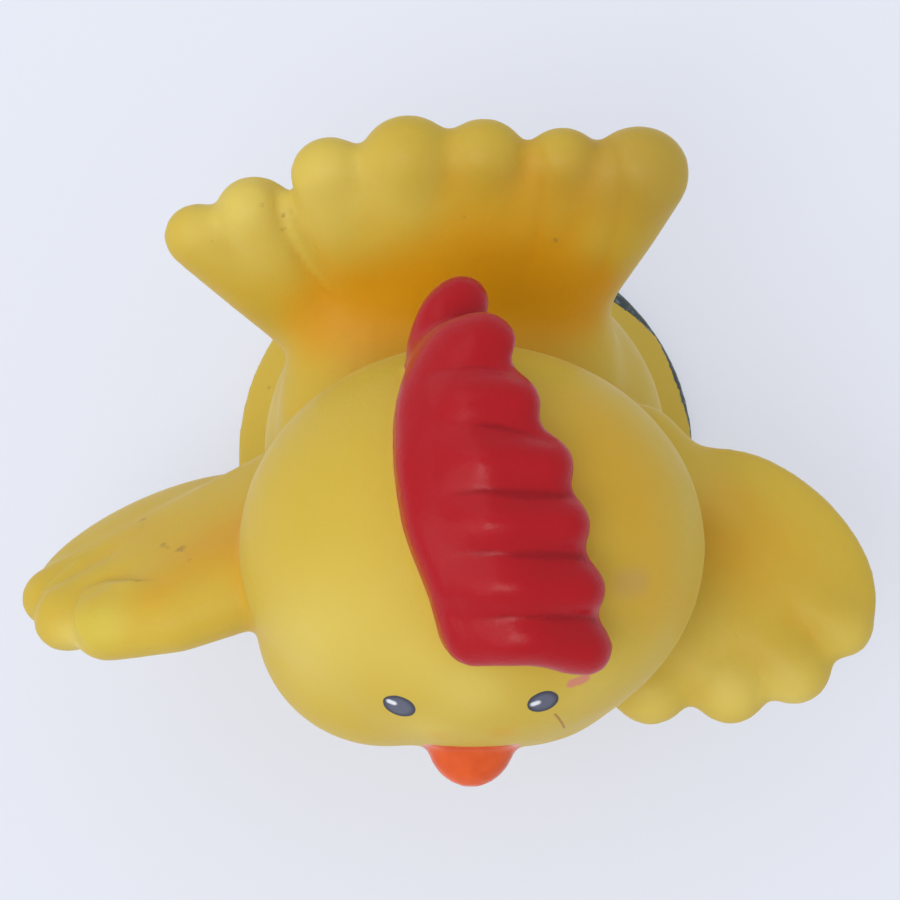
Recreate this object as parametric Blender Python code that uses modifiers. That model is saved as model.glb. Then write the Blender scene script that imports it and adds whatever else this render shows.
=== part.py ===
"""A soft one-piece rubber hen: round head, flopped comb, spread wings, tail fan and flat round foot.

Lengths are in millimetres and angles in degrees until the last step, which turns the mesh to metres.
The hen faces -Y, its left and right are those of the picture (-X and +X), and it stands on z = 0.
"""

import math

import bmesh
import bpy
from mathutils import Matrix, Vector

METRES_PER_MM = 0.001

# Foot: a low flared skirt with a flat underside that the hen stands on
FOOT_RADIUS = 29.9
FOOT_ASIDE = 0.1
FOOT_EDGE_HEIGHT = 3.0
FOOT_EDGE_ROUND = 1.2
FOOT_FLARE_RADIUS = 20.0
FOOT_FLARE_HEIGHT = 11.0
FOOT_SUNK = 0.5

# Torso: an egg that leans back over the foot
TORSO_WIDTH = 51.0
TORSO_LENGTH = 50.0
TORSO_HEIGHT = 38.0
TORSO_FORWARD = 4.5
TORSO_LEVEL = 21.0

# Head
HEAD_WIDTH = 55.0
HEAD_LENGTH = 48.0
HEAD_HEIGHT = 47.0
HEAD_ASIDE = 0.6
HEAD_FORWARD = 23.6
HEAD_LEVEL = 50.0

# Cheeks: fuller balls low on both sides of the beak
CHEEK_RADIUS = 15.5
CHEEK_SPREAD = 7.9
CHEEK_ASIDE = -2.3
CHEEK_FORWARD = 7.5
CHEEK_DROP = 4.0

# Beak: a blunt bill with a low bridge running up the face
BEAK_WIDTH = 10.0
BEAK_ASIDE = -0.1
BEAK_HEIGHT = 8.0
BEAK_LENGTH = 12.0
BEAK_REACH = 28.0
BEAK_DROP = 5.5
BRIDGE_RADIUS = 4.6
BRIDGE_RISE = 6.5

# Comb: seven lobes from rear to front, flopped over to +X. Each root and tip is given by its angles
# at the head's centre: aside toward +X, then forward from the crown.
COMB_ROOTS = (
    (-10.1, -50.0), (-9.6, -39.9), (-12.1, -26.6), (-11.8, -8.9), (-9.5, 7.1), (-4.0, 22.8), (0.9, 37.0),
)
COMB_TIPS = (
    (-2.1, -57.8), (2.2, -39.7), (7.7, -23.3), (15.0, -7.8), (18.6, 6.7), (22.1, 23.0), (23.9, 39.5),
)
COMB_TIP_LIFTS = (5.8, 5.6, 4.0, 3.3, 3.0, 2.8, 2.8)
COMB_ROOT_LIFT = 1.4
COMB_CREST_RISE = 1.5
COMB_CREST_SHARE = 0.5
COMB_ROOT_RADIUS = 3.1
COMB_CREST_RADIUS = 3.2
COMB_TIP_RADIUS = 3.7
COMB_WEB_SHARE = 0.85
COMB_WEB_RADIUS = 2.7

# Tail: a fan of seven petals on a sloping root; the lists run from -X to +X
TAIL_ANGLES = (-60.5, -48.0, -27.0, -9.0, 8.0, 25.0, 39.5)
TAIL_REACHES = (34.6, 31.3, 30.8, 30.0, 30.3, 32.1, 35.6)
TAIL_TIP_RADII = (4.4, 4.9, 4.9, 5.9, 5.2, 4.8, 6.2)
TAIL_TILT = 62.0
TAIL_ROOT_ASIDE = -2.2
TAIL_ROOT_BACK = 8.0
TAIL_ROOT_LEVEL = 30.0
TAIL_ROOT_SPREAD = 12.4
TAIL_ROOT_OFFSET = 0.6
TAIL_ROOT_RADIUS = 8.5
TAIL_THICKNESS = 0.85
TAIL_FILLS = (0.55, 0.35, 0.7, 0.72, 0.7, 0.5)
TAIL_WEB_WIDTH = 36.0
TAIL_WEB_LENGTH = 34.0
TAIL_WEB_THICKNESS = 11.0
TAIL_WEB_UP = 9.0
SADDLE_RADIUS = 10.0
SADDLE_SPREAD = 12.0
SADDLE_FORWARD = 3.0
SADDLE_LEVEL = 29.0
SADDLE_UP = 6.5

# Wings: four feather lobes around a flat palm; the lists run from the tip toward the head.
# The right wing lies spread and flat, the left one is bunched and turned front edge up.
WING_TIP_RADII = (4.2, 4.7, 4.9, 5.0)
WING_ROOT_RADIUS = 7.2
WING_ROOT_CHORD = 16.0
WING_ROOT_INSIDE = 5.0
WING_THICKNESS = 0.85
PALM_LENGTH = 34.0
PALM_INSIDE = 3.0
PALM_WIDTH = 21.0
PALM_THICKNESS = 8.0
SHOULDER_SPREAD = 24.0
SHOULDER_FORWARD = 12.5
SHOULDER_LEVEL = 33.0
RIGHT_SWEEP = 40.0
RIGHT_PITCH = -8.0
RIGHT_FORWARD = -0.3
RIGHT_ANGLES = (-1.0, 15.0, 32.0, 54.0)
RIGHT_REACHES = (27.5, 27.3, 25.7, 24.4)
RIGHT_PALM_BACK = 1.1
RIGHT_FILLS = (0.75, 0.75, 0.7)
LEFT_SWEEP = 25.0
LEFT_PITCH = 48.0
LEFT_FORWARD = 2.2
LEFT_ANGLES = (-3.0, 10.0, 24.0, 43.0)
LEFT_REACHES = (28.4, 28.0, 25.8, 22.0)
LEFT_PALM_BACK = 2.6
LEFT_FILLS = (0.68, 0.72, 1.0)

# Mesh: voxel sizes, smoothing passes and the share of faces kept
CORE_VOXEL = 1.4
SKIN_VOXEL = 0.9
CORE_PASSES = 8
LIMB_PASSES = 3
SKIN_PASSES = 3
SMOOTH_FACTOR = 0.5
BALL_SEGMENTS = 28
BALL_RINGS = 18
DISC_SEGMENTS = 96
TRIANGLES = 8000

# Finish
SKIN_COLOUR = (0.63, 0.47, 0.07, 1.0)
SKIN_ROUGHNESS = 0.5


def clear_scene():
    for old in list(bpy.data.objects):
        bpy.data.objects.remove(old, do_unlink=True)


def fresh_collection(name):
    collection = bpy.data.collections.new(name)
    bpy.context.scene.collection.children.link(collection)
    return collection


def turn(angle, axis):
    return Matrix.Rotation(math.radians(angle), 4, axis)


def add_ball(mesh, centre, radii, frame=None):
    """Add an ellipsoid; frame turns its own axes."""
    place = Matrix.Translation(centre)
    if frame is not None:
        place = place @ frame
    bmesh.ops.create_uvsphere(
        mesh,
        u_segments=BALL_SEGMENTS,
        v_segments=BALL_RINGS,
        radius=1.0,
        matrix=place @ Matrix.Diagonal((*radii, 1.0)),
    )


def wrap_balls(mesh, balls, frame=None, thickness=1.0):
    """Add the convex hull of balls, each given as its centre and radius."""
    piece = bmesh.new()
    for centre, radius in balls:
        add_ball(piece, centre, (radius, radius, radius * thickness), frame)
    wrapped = bmesh.ops.convex_hull(piece, input=piece.verts)
    spare = {item for item in wrapped["geom_interior"] if isinstance(item, bmesh.types.BMVert)}
    bmesh.ops.delete(piece, geom=list(spare), context="VERTS")
    holder = bpy.data.meshes.new("wrapped")
    piece.to_mesh(holder)
    piece.free()
    mesh.from_mesh(holder)
    bpy.data.meshes.remove(holder)


def between(start, end, share):
    return start + (end - start) * share


def ball_between(first, second, share):
    return between(first[0], second[0], share), between(first[1], second[1], share)


def add_strand(mesh, balls, frame=None, thickness=1.0):
    """Add a tapering strand: each pair of neighbouring balls is wrapped in its convex hull."""
    for start in range(len(balls) - 1):
        wrap_balls(mesh, balls[start:start + 2], frame, thickness)


def add_fan(mesh, strands, fills, frame, thickness):
    """Add strands side by side, with each gap filled from the roots to a share of their length."""
    for strand in strands:
        add_strand(mesh, strand, frame, thickness)
    for first, second, fill in zip(strands[:-1], strands[1:], fills):
        edge = [ball_between(*first, fill), ball_between(*second, fill)]
        wrap_balls(mesh, [first[0], second[0], *edge], frame, thickness)


def head_centre():
    return Vector((HEAD_ASIDE, -HEAD_FORWARD, HEAD_LEVEL))


def head_radii():
    return Vector((HEAD_WIDTH / 2, HEAD_LENGTH / 2, HEAD_HEIGHT / 2))


def on_head(side, forward, lift):
    """Point above the head: side degrees toward +X and forward degrees from the crown toward -Y."""
    side = math.radians(side)
    forward = math.radians(forward)
    normal = Vector((
        math.sin(side),
        -math.cos(side) * math.sin(forward),
        math.cos(side) * math.cos(forward),
    ))
    radii = head_radii() + Vector((lift, lift, lift))
    return head_centre() + Vector(axis * size for axis, size in zip(normal, radii))


def add_cone(mesh, lower_radius, upper_radius, bottom, top):
    bmesh.ops.create_cone(
        mesh,
        cap_ends=True,
        segments=DISC_SEGMENTS,
        radius1=lower_radius,
        radius2=upper_radius,
        depth=top - bottom,
        matrix=Matrix.Translation((FOOT_ASIDE, 0.0, (top + bottom) / 2)),
    )


def add_foot(mesh):
    """An upright rim, sunk a little below the floor to be trimmed flat, under a shallow cone."""
    rim_top = FOOT_EDGE_HEIGHT - FOOT_EDGE_ROUND
    shoulder = FOOT_RADIUS - FOOT_EDGE_ROUND
    add_cone(mesh, FOOT_RADIUS, FOOT_RADIUS, -FOOT_SUNK, rim_top)
    add_cone(mesh, FOOT_RADIUS, shoulder, rim_top, FOOT_EDGE_HEIGHT)
    add_cone(mesh, shoulder, FOOT_FLARE_RADIUS, FOOT_EDGE_HEIGHT, FOOT_FLARE_HEIGHT)


def add_torso(mesh):
    centre = (0.0, -TORSO_FORWARD, TORSO_LEVEL)
    add_ball(mesh, centre, (TORSO_WIDTH / 2, TORSO_LENGTH / 2, TORSO_HEIGHT / 2))


def add_head(mesh):
    add_ball(mesh, head_centre(), head_radii())
    for side in (-1, 1):
        aside = CHEEK_ASIDE + side * CHEEK_SPREAD
        cheek = head_centre() + Vector((aside, -CHEEK_FORWARD, -CHEEK_DROP))
        add_ball(mesh, cheek, (CHEEK_RADIUS, CHEEK_RADIUS, CHEEK_RADIUS))


def add_beak(mesh):
    tip = head_centre() + Vector((BEAK_ASIDE, BEAK_LENGTH / 2 - BEAK_REACH, -BEAK_DROP))
    add_ball(mesh, tip, (BEAK_WIDTH / 2, BEAK_LENGTH / 2, BEAK_HEIGHT / 2))
    back = tip + Vector((0.0, BEAK_LENGTH / 2, BRIDGE_RISE))
    add_strand(mesh, ((tip, BEAK_HEIGHT / 2), (back, BRIDGE_RADIUS)))


def comb_lobes():
    """Each lobe is a root ball on the left of the crown, a crest ball and a tip ball."""
    lobes = []
    for root, tip, tip_lift in zip(COMB_ROOTS, COMB_TIPS, COMB_TIP_LIFTS):
        crest = [between(start, end, COMB_CREST_SHARE) for start, end in zip(root, tip)]
        crest_lift = between(COMB_ROOT_LIFT, tip_lift, COMB_CREST_SHARE) + COMB_CREST_RISE
        lobes.append((
            (on_head(*root, COMB_ROOT_LIFT), COMB_ROOT_RADIUS),
            (on_head(*crest, crest_lift), COMB_CREST_RADIUS),
            (on_head(*tip, tip_lift), COMB_TIP_RADIUS),
        ))
    return lobes


def comb_webs():
    """Fills between neighbouring lobes: flush up to the crests, then lower toward the tips."""
    lobes = comb_lobes()
    webs = []
    for first, second in zip(lobes[1:-1], lobes[2:]):
        webs.append([*first[:2], *second[:2]])
        edge = [(ball_between(*lobe[1:], COMB_WEB_SHARE)[0], COMB_WEB_RADIUS) for lobe in (first, second)]
        webs.append([first[1], second[1], *edge])
    return webs


def add_comb(mesh):
    """The rearmost lobe stands apart, under the next one."""
    for lobe in comb_lobes():
        add_strand(mesh, lobe)
    for web in comb_webs():
        wrap_balls(mesh, web)


def tail_frame():
    """Where the petals meet, and the turn that lays their plane up and back."""
    return Vector((TAIL_ROOT_ASIDE, TAIL_ROOT_BACK, TAIL_ROOT_LEVEL)), turn(TAIL_TILT, "X")


def add_tail_web(mesh):
    """The smooth sheet between the petals' roots and the back."""
    root, slope = tail_frame()
    radii = (TAIL_WEB_WIDTH / 2, TAIL_WEB_LENGTH / 2, TAIL_WEB_THICKNESS / 2)
    add_ball(mesh, root + slope @ Vector((0.0, TAIL_WEB_UP, 0.0)), radii, slope)


def add_saddle(mesh):
    """Fills the valley between the back and the petals' roots."""
    root, slope = tail_frame()
    balls = []
    for side in (-1, 1):
        aside = root.x + TAIL_ROOT_OFFSET + side * SADDLE_SPREAD
        balls.append((Vector((aside, -SADDLE_FORWARD, SADDLE_LEVEL)), SADDLE_RADIUS))
        up = slope @ Vector((TAIL_ROOT_OFFSET + side * SADDLE_SPREAD, SADDLE_UP, 0.0))
        balls.append((root + up, TAIL_ROOT_RADIUS * TAIL_THICKNESS))
    wrap_balls(mesh, balls)


def add_tail(mesh):
    """Petals fan out in a plane that slopes up and back from the root."""
    root, slope = tail_frame()
    petals = []
    for angle, reach, tip_radius in zip(TAIL_ANGLES, TAIL_REACHES, TAIL_TIP_RADII):
        angle = math.radians(angle)
        across = math.sin(angle)
        start = root + slope @ Vector((across * TAIL_ROOT_SPREAD + TAIL_ROOT_OFFSET, 0.0, 0.0))
        tip = root + slope @ Vector((across * reach, math.cos(angle) * reach, 0.0))
        petals.append(((start, TAIL_ROOT_RADIUS), (tip, tip_radius)))
    add_fan(mesh, petals, TAIL_FILLS, slope, TAIL_THICKNESS)


def wing_frame(side, pose):
    """Shoulder point, and the turn of the wing: sweep swings it, pitch lifts its front edge."""
    sweep, pitch, forward = pose
    shoulder = Vector((side * SHOULDER_SPREAD, -SHOULDER_FORWARD - forward, SHOULDER_LEVEL))
    return shoulder, turn(-side * sweep, "Z") @ turn(-pitch, "X")


def add_palm(mesh, side, pose, back):
    shoulder, frame = wing_frame(side, pose)
    palm = shoulder + frame @ Vector((side * (PALM_LENGTH / 2 - PALM_INSIDE), back, 0.0))
    add_ball(mesh, palm, (PALM_LENGTH / 2, PALM_WIDTH / 2, PALM_THICKNESS / 2), frame)


def add_feathers(mesh, side, pose, lobes, fills):
    """Feather lobes run from a root line inside the body to round tips."""
    shoulder, frame = wing_frame(side, pose)
    feathers = []
    for place, (angle, reach, tip_radius) in enumerate(lobes):
        angle = math.radians(angle)
        share = place / (len(lobes) - 1)
        root = shoulder + frame @ Vector((-side * WING_ROOT_INSIDE, -WING_ROOT_CHORD * share, 0.0))
        tip = shoulder + frame @ Vector((side * math.cos(angle), -math.sin(angle), 0.0)) * reach
        feathers.append(((root, WING_ROOT_RADIUS), (tip, tip_radius)))
    add_fan(mesh, feathers, fills, frame, WING_THICKNESS)


def add_wings(mesh):
    for side, pose, back, angles, reaches, fills in (
        (
            1, (RIGHT_SWEEP, RIGHT_PITCH, RIGHT_FORWARD), RIGHT_PALM_BACK,
            RIGHT_ANGLES, RIGHT_REACHES, RIGHT_FILLS,
        ),
        (
            -1, (LEFT_SWEEP, LEFT_PITCH, LEFT_FORWARD), LEFT_PALM_BACK,
            LEFT_ANGLES, LEFT_REACHES, LEFT_FILLS,
        ),
    ):
        add_palm(mesh, side, pose, back)
        add_feathers(mesh, side, pose, list(zip(angles, reaches, WING_TIP_RADII)), fills)


def object_from(mesh, name):
    data = bpy.data.meshes.new(name)
    mesh.to_mesh(data)
    mesh.free()
    thing = bpy.data.objects.new(name, data)
    bpy.context.scene.collection.objects.link(thing)
    return thing


def bake_modifiers(thing):
    """Keep the shape that the modifiers make and drop the modifiers."""
    graph = bpy.context.evaluated_depsgraph_get()
    shaped = bpy.data.meshes.new_from_object(thing.evaluated_get(graph))
    thing.modifiers.clear()
    thing.data = shaped


def fuse(thing, voxel, passes):
    """Melt overlapping solids into one skin and soften it."""
    remesh = thing.modifiers.new("Fuse", "REMESH")
    remesh.mode = "VOXEL"
    remesh.voxel_size = voxel
    soften = thing.modifiers.new("Soften", "SMOOTH")
    soften.factor = SMOOTH_FACTOR
    soften.iterations = passes
    bake_modifiers(thing)


def make_core():
    mesh = bmesh.new()
    add_torso(mesh)
    add_head(mesh)
    add_tail_web(mesh)
    add_saddle(mesh)
    core = object_from(mesh, "core")
    fuse(core, CORE_VOXEL, CORE_PASSES)
    return core


def make_limbs():
    mesh = bmesh.new()
    add_foot(mesh)
    add_beak(mesh)
    add_comb(mesh)
    add_tail(mesh)
    add_wings(mesh)
    limbs = object_from(mesh, "limbs")
    fuse(limbs, SKIN_VOXEL, LIMB_PASSES)
    return limbs


def join(first, second):
    mesh = bmesh.new()
    mesh.from_mesh(first.data)
    mesh.from_mesh(second.data)
    for old in (first, second):
        bpy.data.objects.remove(old, do_unlink=True)
    return object_from(mesh, "hen_body")


def thin_out(thing):
    """Keep as many triangles as the library part needs."""
    thing.data.calc_loop_triangles()
    thin = thing.modifiers.new("Thin", "DECIMATE")
    thin.ratio = min(1.0, TRIANGLES / len(thing.data.loop_triangles))
    bake_modifiers(thing)


def trim_flat(thing):
    """Cut the foot at the floor, so that the underside is one flat face."""
    mesh = bmesh.new()
    mesh.from_mesh(thing.data)
    everything = mesh.verts[:] + mesh.edges[:] + mesh.faces[:]
    cut = bmesh.ops.bisect_plane(
        mesh,
        geom=everything,
        plane_co=(0.0, 0.0, 0.0),
        plane_no=(0.0, 0.0, 1.0),
        clear_inner=True,
    )
    rim = [item for item in cut["geom_cut"] if isinstance(item, bmesh.types.BMEdge)]
    bmesh.ops.contextual_create(mesh, geom=rim)
    bmesh.ops.triangulate(mesh, faces=mesh.faces[:])
    bmesh.ops.recalc_face_normals(mesh, faces=mesh.faces[:])
    mesh.to_mesh(thing.data)
    mesh.free()


def vinyl():
    material = bpy.data.materials.new("yellow_vinyl")
    material.use_nodes = True
    shader = material.node_tree.nodes["Principled BSDF"]
    shader.inputs["Base Color"].default_value = SKIN_COLOUR
    shader.inputs["Roughness"].default_value = SKIN_ROUGHNESS
    shader.inputs["Metallic"].default_value = 0.0
    material.diffuse_color = SKIN_COLOUR
    return material


def build():
    clear_scene()
    parts = fresh_collection("rubber_hen")
    hen = join(make_core(), make_limbs())
    fuse(hen, SKIN_VOXEL, SKIN_PASSES)
    thin_out(hen)
    trim_flat(hen)
    hen.data.transform(Matrix.Scale(METRES_PER_MM, 4))
    hen.data.materials.clear()
    hen.data.materials.append(vinyl())
    for face in hen.data.polygons:
        face.use_smooth = True
    bpy.context.scene.collection.objects.unlink(hen)
    parts.objects.link(hen)


build()
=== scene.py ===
"""Dresses the rubber hen: one fine vinyl skin with a painted comb, beak and eyes.

The hen is modelled in millimetres, like its CAD source, and turned to metres at the end.
It faces -Y, and its left and right are those of the picture (-X and +X).
"""

import math

import bmesh
import bpy
import numpy as np
from mathutils import Euler, Matrix, Vector
from mathutils.bvhtree import BVHTree


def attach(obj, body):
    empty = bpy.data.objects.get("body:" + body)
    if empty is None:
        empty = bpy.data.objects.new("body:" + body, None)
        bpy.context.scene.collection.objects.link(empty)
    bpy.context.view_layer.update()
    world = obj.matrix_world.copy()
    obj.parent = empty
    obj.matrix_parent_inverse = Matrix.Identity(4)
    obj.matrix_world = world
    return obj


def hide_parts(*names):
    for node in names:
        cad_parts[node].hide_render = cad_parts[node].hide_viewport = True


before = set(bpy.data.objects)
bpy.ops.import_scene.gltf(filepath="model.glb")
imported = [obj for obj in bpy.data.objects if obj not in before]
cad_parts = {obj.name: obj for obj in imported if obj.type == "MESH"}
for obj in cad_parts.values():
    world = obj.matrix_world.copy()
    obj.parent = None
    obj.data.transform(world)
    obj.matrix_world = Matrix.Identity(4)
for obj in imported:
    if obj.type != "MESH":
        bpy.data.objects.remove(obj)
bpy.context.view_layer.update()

METRES_PER_MM = 0.001
MM_PER_METRE = 1000.0

# Foot
FOOT_RADIUS = 29.9
FOOT_ASIDE = 0.1
FOOT_EDGE_HEIGHT = 3.0
FOOT_EDGE_ROUND = 1.2
FOOT_FLARE_RADIUS = 20.0
FOOT_FLARE_HEIGHT = 11.0
FOOT_SUNK = 0.5

# Torso
TORSO_WIDTH = 51.0
TORSO_LENGTH = 50.0
TORSO_HEIGHT = 38.0
TORSO_FORWARD = 4.5
TORSO_LEVEL = 21.0

# Head and cheeks
HEAD_WIDTH = 55.0
HEAD_LENGTH = 48.0
HEAD_HEIGHT = 47.0
HEAD_ASIDE = 0.6
HEAD_FORWARD = 23.6
HEAD_LEVEL = 50.0
CHEEK_RADIUS = 15.5
CHEEK_SPREAD = 7.9
CHEEK_ASIDE = -2.3
CHEEK_FORWARD = 7.5
CHEEK_DROP = 4.0

# Beak and the bridge above it
BEAK_WIDTH = 10.8
BEAK_ASIDE = -0.1
BEAK_HEIGHT = 8.0
BEAK_LENGTH = 12.0
BEAK_REACH = 27.75
BEAK_DROP = 5.5
BRIDGE_RADIUS = 4.6
BRIDGE_RISE = 6.5

# Comb, rear lobe first: angles aside and forward of the crown
COMB_ROOTS = (
    (-10.1, -50.0), (-9.6, -39.9), (-12.1, -26.6), (-11.8, -8.9), (-9.5, 7.1), (-4.0, 22.8), (-0.9, 37.2),
)
COMB_TIPS = (
    (-2.1, -57.8), (2.2, -39.7), (7.7, -23.3), (15.0, -7.8), (18.6, 6.7), (22.1, 23.0), (23.9, 39.5),
)
COMB_TIP_LIFTS = (5.8, 5.6, 4.0, 3.3, 3.0, 2.8, 2.8)
COMB_ROOT_LIFT = 1.4
COMB_CREST_RISE = 1.5
COMB_CREST_SHARE = 0.5
COMB_CREST_SHIFTS = (0.0, 0.0, 0.0, 0.0, 0.0, 0.0, -4.5)
COMB_ROOT_RADIUS = 3.1
COMB_CREST_RADIUS = 3.2
COMB_TIP_RADIUS = 3.7
COMB_WEB_SHARE = 0.85
COMB_WEB_RADIUS = 2.7

# Tail fan, from -X to +X
TAIL_ANGLES = (-60.5, -48.0, -27.0, -9.0, 8.0, 25.0, 39.5)
TAIL_REACHES = (34.6, 31.3, 30.8, 30.0, 30.3, 32.1, 35.6)
TAIL_TIP_RADII = (4.4, 4.9, 4.9, 5.9, 5.2, 4.8, 6.2)
TAIL_TILT = 62.0
TAIL_ROOT_ASIDE = -2.2
TAIL_ROOT_BACK = 8.0
TAIL_ROOT_LEVEL = 30.0
TAIL_ROOT_SPREAD = 12.4
TAIL_ROOT_OFFSET = 0.6
TAIL_ROOT_RADIUS = 8.5
TAIL_THICKNESS = 0.85
TAIL_FILLS = (0.55, 0.35, 0.7, 0.72, 0.7, 0.5)
TAIL_WEB_WIDTH = 36.0
TAIL_WEB_LENGTH = 34.0
TAIL_WEB_THICKNESS = 11.0
TAIL_WEB_UP = 9.0
SADDLE_RADIUS = 10.0
SADDLE_SPREAD = 12.0
SADDLE_FORWARD = 3.0
SADDLE_LEVEL = 29.0
SADDLE_UP = 6.5

# Wings, lobes from the tip toward the head
WING_TIP_RADII = (4.2, 4.7, 4.9, 5.0)
WING_ROOT_RADIUS = 7.2
WING_ROOT_CHORD = 16.0
WING_ROOT_INSIDE = 5.0
WING_THICKNESS = 0.85
PALM_LENGTH = 34.0
PALM_INSIDE = 3.0
PALM_WIDTH = 21.0
PALM_THICKNESS = 8.0
SHOULDER_SPREAD = 24.0
SHOULDER_FORWARD = 12.5
SHOULDER_LEVEL = 33.0
RIGHT_SWEEP = 40.0
RIGHT_PITCH = -8.0
RIGHT_FORWARD = -0.3
RIGHT_ANGLES = (-1.0, 15.0, 32.0, 54.0)
RIGHT_REACHES = (27.5, 27.3, 25.7, 24.4)
RIGHT_PALM_BACK = 1.1
RIGHT_FILLS = (0.75, 0.75, 0.7)
LEFT_SWEEP = 25.0
LEFT_PITCH = 48.0
LEFT_FORWARD = 2.2
LEFT_ANGLES = (-3.0, 10.0, 24.0, 43.0)
LEFT_REACHES = (28.4, 28.0, 25.8, 22.0)
LEFT_PALM_BACK = 2.6
LEFT_FILLS = (0.68, 0.72, 1.0)

# Mesh: finer than the CAD model's
CORE_VOXEL = 1.4
SKIN_VOXEL = 0.58
CORE_PASSES = 8
LIMB_PASSES = 10
COMB_PASSES = 26
SKIN_PASSES = 8
SMOOTH_FACTOR = 0.5
BALL_SEGMENTS = 36
BALL_RINGS = 24
DISC_SEGMENTS = 128

# Camera: the photograph is a 900 pixel square
IMAGE_SIDE = 900
CAMERA_ELEVATION = 76.0
CAMERA_DISTANCE = 500.0
FOCAL_PIXELS = 3800.0
SENSOR_WIDTH = 36.0
CAMERA_TARGET = Vector((-1.97, 0.51, 0.13))
CAMERA_CLIP_START = 0.01
PIXELS_PER_MM = 8.3

# Creases that the fused solids leave out, in pixels of the photograph.
# Each is a line, how far (mm) the skin rises on its left and on its right, the reach (mm) of that,
# and the power of its fading: 1 for a sharp crease, 2 for a soft swelling.
TAIL_STEP = (
    (350, 312), (340, 302), (325, 288), (312, 272), (300, 253),
    (291, 235), (285, 215), (282, 190), (281, 172),
)
TAIL_CREASE = (
    (583, 298), (589, 289), (600, 272), (610, 250), (616, 226), (620, 200), (615, 168), (611, 143),
)
FINGER_CREASE_TIP = ((38, 634), (36, 612), (43, 594), (50, 583), (60, 573), (76, 561))
FINGER_CREASE_MIDDLE = (
    (94, 655), (84, 643), (76, 631), (73, 618), (76, 606), (85, 589), (109, 581), (128, 581),
)
WING_CREASE_LOW = ((721, 625), (719, 633), (714, 655), (708, 672), (700, 683), (690, 697))
WING_CREASE_MIDDLE = ((755, 640), (757, 655), (759, 672), (758, 690), (756, 704))
WING_CREASE_TIP = ((800, 618), (807, 630), (816, 643), (823, 656), (829, 670))
COMB_GROOVES = (
    ((418, 380), (435, 371), (455, 366), (480, 365), (505, 369), (522, 372)),
    ((430, 425), (455, 423), (480, 424), (510, 428), (535, 435), (550, 439)),
    ((430, 500), (455, 494), (480, 490), (520, 494), (560, 495), (582, 492)),
    ((435, 562), (460, 555), (480, 553), (530, 555), (575, 556), (600, 559)),
    ((450, 628), (480, 620), (505, 617), (550, 618), (590, 619), (612, 621)),
)
COMB_SWELLS = (
    ((440, 356), (465, 346), (488, 340), (505, 342)),
    ((430, 405), (455, 400), (490, 398), (520, 404)),
    ((435, 466), (465, 460), (510, 460), (550, 468)),
    ((440, 530), (470, 523), (520, 522), (568, 527)),
    ((450, 594), (475, 588), (530, 587), (584, 592)),
    ((470, 650), (495, 645), (540, 644), (590, 652)),
)
COMB_NOTCH = ((428, 606), (442, 611), (454, 614))
TAIL_VALLEYS = (
    ((270, 290), (240, 268), (228, 248), (221, 225), (217, 203)),
    ((522, 285), (532, 262), (540, 220), (544, 175), (538, 140)),
)
CREASES = (
    *((valley, (-0.25, -0.25), 0.9, 1.2) for valley in TAIL_VALLEYS),
    (TAIL_STEP, (-0.75, 0.2), 2.8, 1.4),
    (TAIL_CREASE, (-0.45, -0.45), 1.1, 1.2),
    (FINGER_CREASE_TIP, (-0.55, 0.6), 1.3, 1.0),
    (FINGER_CREASE_MIDDLE, (-0.6, 0.65), 1.4, 1.0),
    (WING_CREASE_LOW, (-0.35, -0.35), 1.2, 1.0),
    (WING_CREASE_MIDDLE, (-0.3, -0.3), 1.2, 1.0),
    (WING_CREASE_TIP, (-0.25, -0.25), 1.1, 1.0),
)
COMB_CREASES = (
    *((swell, (0.95, 0.95), 2.5, 2.0) for swell in COMB_SWELLS),
    *((groove, (-0.4, -0.4), 1.0, 1.3) for groove in COMB_GROOVES),
    (COMB_NOTCH, (-0.4, -0.4), 1.6, 2.0),
)
# A crease fades in over the first share of its line, and out where the skin turns from the camera
CREASE_FADE = 0.45
CREASE_LIMIT = 3.0
CREASE_FACING = (0.12, 0.45)
CREASE_SHARPNESS = 0.3
SEEN_TOLERANCE = 0.4

# Relaxed spots, where the real moulding has no crease: pixel, size (mm) and strength
MELT_PASSES = 160
MELT_SPOTS = (
    (310, 330, 5.0, 1.0), (350, 310, 6.0, 1.0), (400, 290, 6.0, 0.9), (520, 290, 6.0, 0.9),
    (565, 290, 6.0, 1.0), (597, 290, 4.5, 1.0), (300, 355, 4.0, 0.9), (606, 320, 4.0, 0.9),
    (715, 470, 4.0, 0.8), (700, 455, 3.5, 0.8), (225, 490, 4.0, 0.8),
    (362, 210, 4.5, 0.8), (450, 212, 4.5, 0.8), (536, 208, 4.5, 0.8), (598, 200, 4.0, 0.7),
    (488, 215, 4.0, 0.6),
)

# Comb: where its paint ends and its skin is relaxed, by the distance (mm) from the bare comb
COMB_MARGIN = 3.0
COMB_SOFT_EDGE = 0.8
COMB_RELAX_PASSES = 14
COMB_UNEVEN = 0.6
COMB_FRINGE = (0.66, 0.22)
COMB_FRINGE_SHARE = 0.75
COMB_PAINT = (0.36, 0.20)
# Painted shade: the crease depths (mm) over which the red darkens
COMB_CREASE_DEPTHS = (0.03, 0.15)

# Passes of smoothing that tell hollows and creases from the rest of the skin
HOLLOW_PASSES = 60
CREASE_PASSES = 6
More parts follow.
